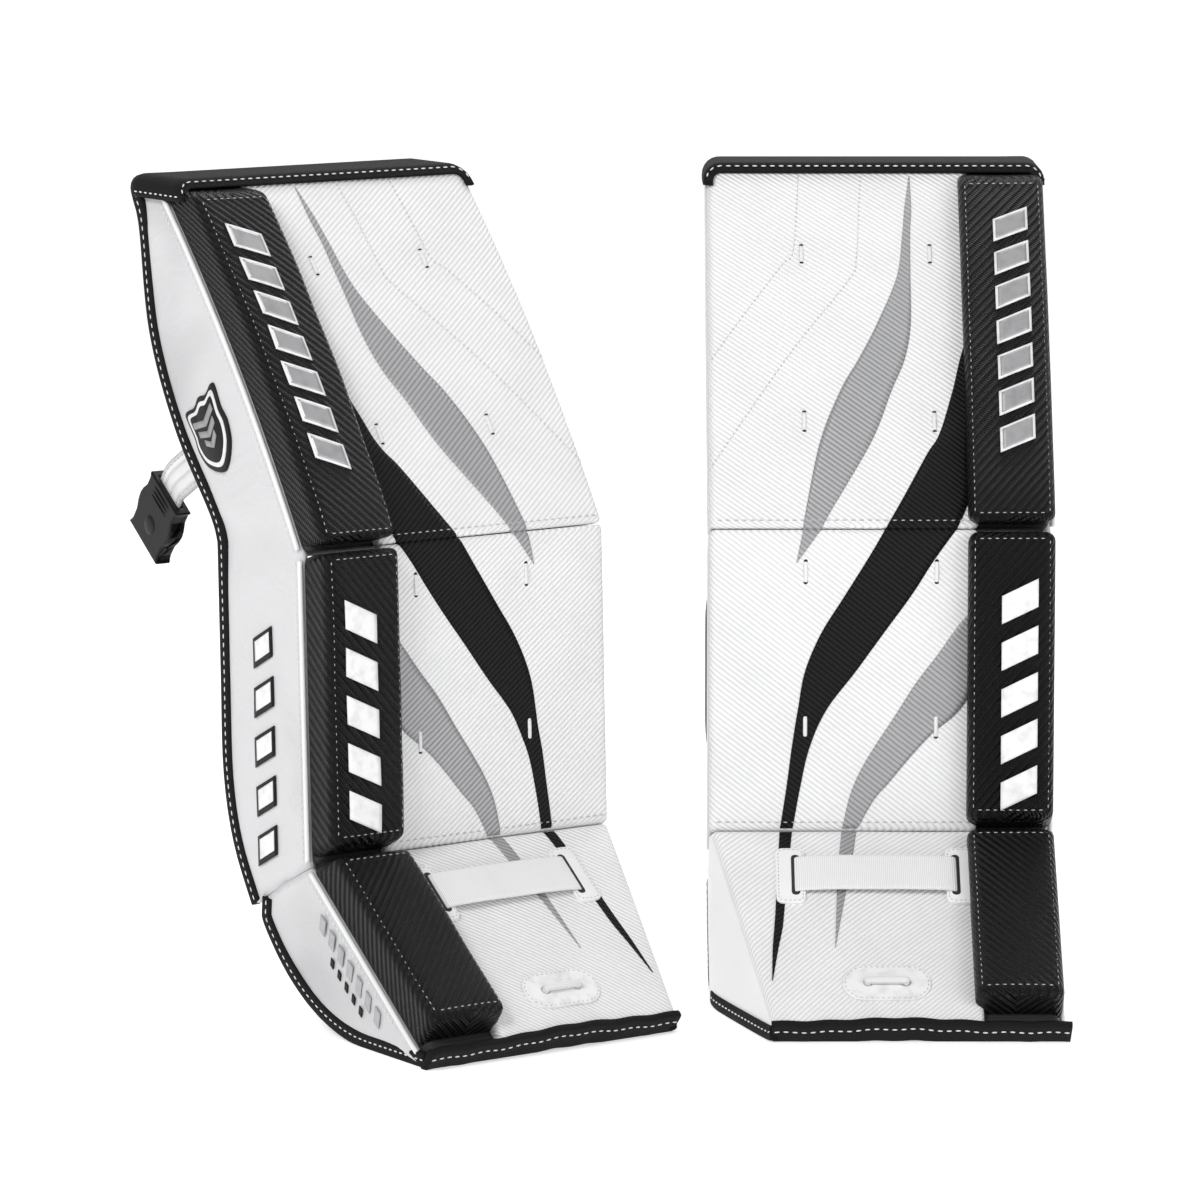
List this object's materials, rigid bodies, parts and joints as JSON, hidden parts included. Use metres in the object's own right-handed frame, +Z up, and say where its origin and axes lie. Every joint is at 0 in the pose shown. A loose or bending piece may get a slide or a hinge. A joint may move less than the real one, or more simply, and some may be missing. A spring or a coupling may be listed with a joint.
{
  "type": "goalie leg pads",
  "caption": "Pair of padded goalie leg pads with outer rolls, side panels, boot strap, toe plate, wings and buckled webbing straps, flexing at knee and boot.",
  "frame": {"origin": "on the floor, under the middle of the pair's box", "axes": "+Z up; +X across the front of the left pad, towards its outer side; +Y from the front of the left pad to its back; the right pad is turned 35 degrees about +Z"},
  "size_m": [0.5286, 0.3778, 0.4622],
  "materials": {
    "foam": "closed-cell foam block",
    "face_leather": "white synthetic leather embossed with a diagonal twill",
    "roll_leather": "black synthetic leather with a carbon weave",
    "side_leather": "smooth pale synthetic leather",
    "liner_fabric": "black brushed nylon lining",
    "lace": "white woven lace",
    "webbing": "white ribbed webbing",
    "buckle_plastic": "black moulded acetal",
    "toe_plastic": "white flexible plate",
    "patch_leather": "white stitched patch",
    "badge_rubber": "moulded soft rubber"
  },
  "bodies": {
    "left_thigh": {"left_thigh_core": "foam", "left_thigh_face": "face_leather", "left_thigh_roll": "roll_leather", "left_thigh_outer_panel": "side_leather", "left_thigh_inner_panel": "face_leather", "left_thigh_tacks": "lace", "left_thigh_badge": "badge_rubber", "left_knee_block": "liner_fabric"},
    "left_shin": {"left_shin_core": "foam", "left_shin_face": "face_leather", "left_shin_roll": "roll_leather", "left_shin_outer_panel": "side_leather", "left_shin_inner_panel": "face_leather", "left_shin_tacks": "lace", "left_leg_liner": "liner_fabric"},
    "left_boot": {"left_boot_core": "foam", "left_boot_face": "face_leather", "left_boot_roll": "roll_leather", "left_boot_outer_flap": "side_leather", "left_boot_inner_gusset": "face_leather", "left_slot_patches": "patch_leather", "left_boot_strap": "webbing", "left_toe_plate": "toe_plastic", "left_toe_lace": "lace"},
    "left_knee_wing": {"left_knee_wing": "liner_fabric"},
    "left_calf_wing": {"left_calf_wing": "liner_fabric"},
    "left_knee_strap": {"left_knee_strap": "webbing", "left_buckle_socket": "buckle_plastic"},
    "left_back_strap": {"left_back_strap": "webbing", "left_buckle_clip": "buckle_plastic"},
    "right_thigh": {"right_thigh_core": "foam", "right_thigh_face": "face_leather", "right_thigh_roll": "roll_leather", "right_thigh_outer_panel": "side_leather", "right_thigh_inner_panel": "face_leather", "right_thigh_tacks": "lace", "right_thigh_badge": "badge_rubber", "right_knee_block": "liner_fabric"},
    "right_shin": {"right_shin_core": "foam", "right_shin_face": "face_leather", "right_shin_roll": "roll_leather", "right_shin_outer_panel": "side_leather", "right_shin_inner_panel": "face_leather", "right_shin_tacks": "lace", "right_leg_liner": "liner_fabric"},
    "right_boot": {"right_boot_core": "foam", "right_boot_face": "face_leather", "right_boot_roll": "roll_leather", "right_boot_outer_flap": "side_leather", "right_boot_inner_gusset": "face_leather", "right_slot_patches": "patch_leather", "right_boot_strap": "webbing", "right_toe_plate": "toe_plastic", "right_toe_lace": "lace"},
    "right_knee_wing": {"right_knee_wing": "liner_fabric"},
    "right_calf_wing": {"right_calf_wing": "liner_fabric"},
    "right_knee_strap": {"right_knee_strap": "webbing", "right_buckle_socket": "buckle_plastic"},
    "right_back_strap": {"right_back_strap": "webbing", "right_buckle_clip": "buckle_plastic"}
  },
  "joints": [
    {"name": "left_knee_flex", "type": "hinge", "parent": "left_shin", "child": "left_thigh", "pos_m": [0.16526, -0.00665, 0.26956], "axis": [1, 0, 0], "range_deg": [-5, 8], "stiffness_Nm_per_rad": 70},
    {"name": "left_boot_flex", "type": "hinge", "parent": "left_shin", "child": "left_boot", "pos_m": [0.16526, -0.01267, 0.09733], "axis": [1, 0, 0], "range_deg": [-8, 6], "stiffness_Nm_per_rad": 90},
    {"name": "left_knee_wing_fold", "type": "hinge", "parent": "left_thigh", "child": "left_knee_wing", "pos_m": [0.24876, 0.05463, 0.27379], "axis": [0, 0.5508, 0.8347], "range_deg": [0, 60], "stiffness_Nm_per_rad": 0.1},
    {"name": "left_calf_wing_fold", "type": "hinge", "parent": "left_shin", "child": "left_calf_wing", "pos_m": [0.06826, 0.04032, 0.1246], "axis": [0, 0.0349, 0.9994], "range_deg": [0, 75], "stiffness_Nm_per_rad": 0.3},
    {"name": "left_knee_strap_swing", "type": "hinge", "parent": "left_thigh", "child": "left_knee_strap", "pos_m": [0.25886, 0.12157, 0.30498], "axis": [0, -0.6157, -0.788], "range_deg": [-50, 60], "stiffness_Nm_per_rad": 0.08},
    {"name": "left_back_strap_swing", "type": "hinge", "parent": "left_thigh", "child": "left_back_strap", "pos_m": [0.09926, 0.1126, 0.30595], "axis": [1, 0, 0], "range_deg": [-25, 60]},
    {"name": "right_knee_flex", "type": "hinge", "parent": "right_shin", "child": "right_thigh", "pos_m": [-0.07215, -0.03852, 0.26956], "axis": [0.8192, 0.5736, 0], "range_deg": [-5, 8], "stiffness_Nm_per_rad": 70},
    {"name": "right_boot_flex", "type": "hinge", "parent": "right_shin", "child": "right_boot", "pos_m": [-0.0687, -0.04344, 0.09733], "axis": [0.8192, 0.5736, 0], "range_deg": [-8, 6], "stiffness_Nm_per_rad": 90},
    {"name": "right_knee_wing_fold", "type": "hinge", "parent": "right_thigh", "child": "right_knee_wing", "pos_m": [-0.17569, -0.03621, 0.27379], "axis": [0.3159, -0.4512, -0.8347], "range_deg": [0, 60], "stiffness_Nm_per_rad": 0.1},
    {"name": "right_calf_wing_fold", "type": "hinge", "parent": "right_shin", "child": "right_calf_wing", "pos_m": [-0.01963, 0.05559, 0.1246], "axis": [0.02, -0.0286, -0.9994], "range_deg": [0, 75], "stiffness_Nm_per_rad": 0.3},
    {"name": "right_knee_strap_swing", "type": "hinge", "parent": "right_thigh", "child": "right_knee_strap", "pos_m": [-0.22236, 0.01283, 0.30498], "axis": [-0.3531, 0.5043, 0.788], "range_deg": [-50, 60], "stiffness_Nm_per_rad": 0.08},
    {"name": "right_back_strap_swing", "type": "hinge", "parent": "right_thigh", "child": "right_back_strap", "pos_m": [-0.08648, 0.09702, 0.30595], "axis": [0.8192, 0.5736, 0], "range_deg": [-25, 60]},
    {"name": "right_pad_slide", "type": "slide", "parent": "left_shin", "child": "right_shin", "axis": [-1, 0, 0], "range_m": [0, 0.3]}
  ]
}
